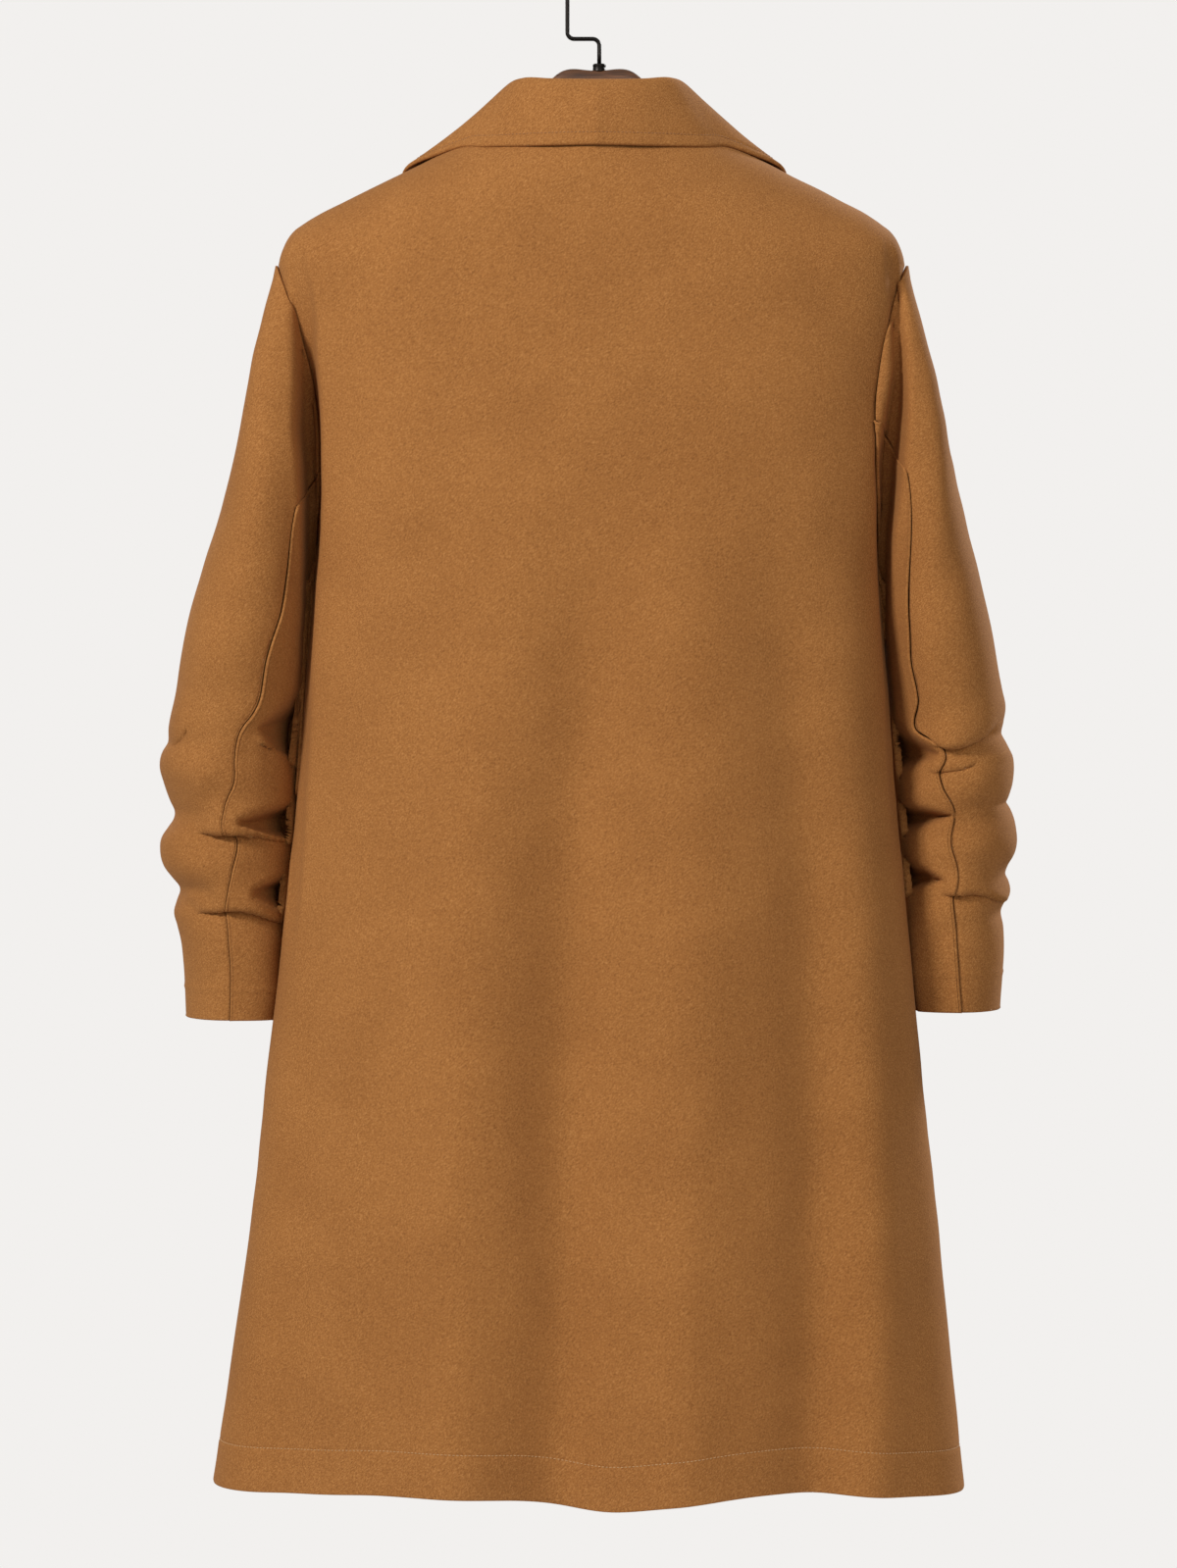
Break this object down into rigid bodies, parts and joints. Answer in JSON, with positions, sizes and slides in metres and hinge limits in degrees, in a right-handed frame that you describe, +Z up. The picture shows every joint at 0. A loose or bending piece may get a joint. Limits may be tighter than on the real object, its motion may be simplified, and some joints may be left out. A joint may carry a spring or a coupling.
{
  "type": "overcoat on a hanger",
  "caption": "Long single-breasted wool overcoat with turned-down collar and notched lapels, hanging buttoned on a wooden hanger with a wire hook.",
  "frame": {"origin": "inside of the top of the hanger's hook, where a rail carries it", "axes": "+Z up; the coat's front faces -Y; +X is towards its left sleeve"},
  "size_m": [0.6533, 0.2296, 1.1592],
  "materials": {
    "wool": "felted wool, brushed, camel brown",
    "buttons": "polished horn look, dark brown",
    "wood": "clear satin varnish on brown wood",
    "metal": "blackened steel wire, satin"
  },
  "bodies": {
    "root": {"back": "wool", "front_left": "wool", "front_right": "wool", "lapel_left": "wool", "lapel_right": "wool", "collar": "wool", "sleeve_left_top": "wool", "sleeve_left_under": "wool", "sleeve_right_top": "wool", "sleeve_right_under": "wool", "button_1": "buttons", "button_2": "buttons", "button_3": "buttons", "hanger_bar": "wood", "hanger_hook": "metal", "hanger_ferrule": "metal"}
  },
  "joints": []
}
